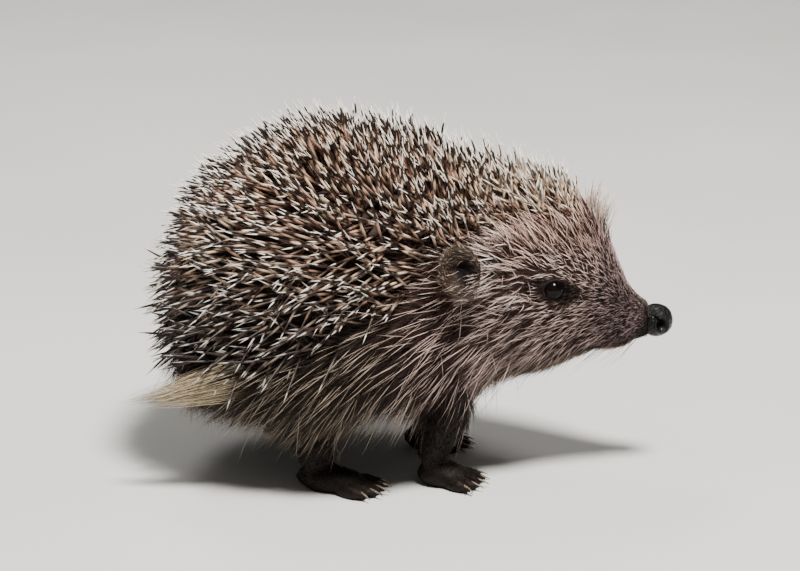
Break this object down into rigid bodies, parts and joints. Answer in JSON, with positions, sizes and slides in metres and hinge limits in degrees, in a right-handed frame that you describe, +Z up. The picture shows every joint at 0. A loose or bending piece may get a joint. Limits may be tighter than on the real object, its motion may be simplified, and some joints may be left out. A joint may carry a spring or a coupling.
{
  "type": "hedgehog",
  "caption": "Life-size walking hedgehog, with a spiny back, a long furry face and a skirt of coarse hair over short legs.",
  "frame": {"origin": "on the floor, below the middle of the animal's length and width", "axes": "+X the way the trunk faces, +Y to the animal's left, +Z up"},
  "size_m": [0.1588, 0.102, 0.1135],
  "materials": {
    "spines": "dry horn, cream with a dark brown band below a white tip",
    "fur": "coarse hair, dark brown below and pale at the tips",
    "bare_skin": "grey-brown skin with a fine down",
    "nose_leather": "moist black grained skin",
    "eyeball": "wet black"
  },
  "bodies": {
    "root": {"trunk": "spines", "neck": "spines", "head": "fur", "jaw": "fur", "nose": "nose_leather", "ear_left": "bare_skin", "ear_right": "bare_skin", "eye_left": "eyeball", "eye_right": "eyeball", "leg_front_left": "fur", "leg_front_right": "fur", "leg_hind_left": "fur", "leg_hind_right": "fur", "tail": "fur"}
  },
  "joints": []
}
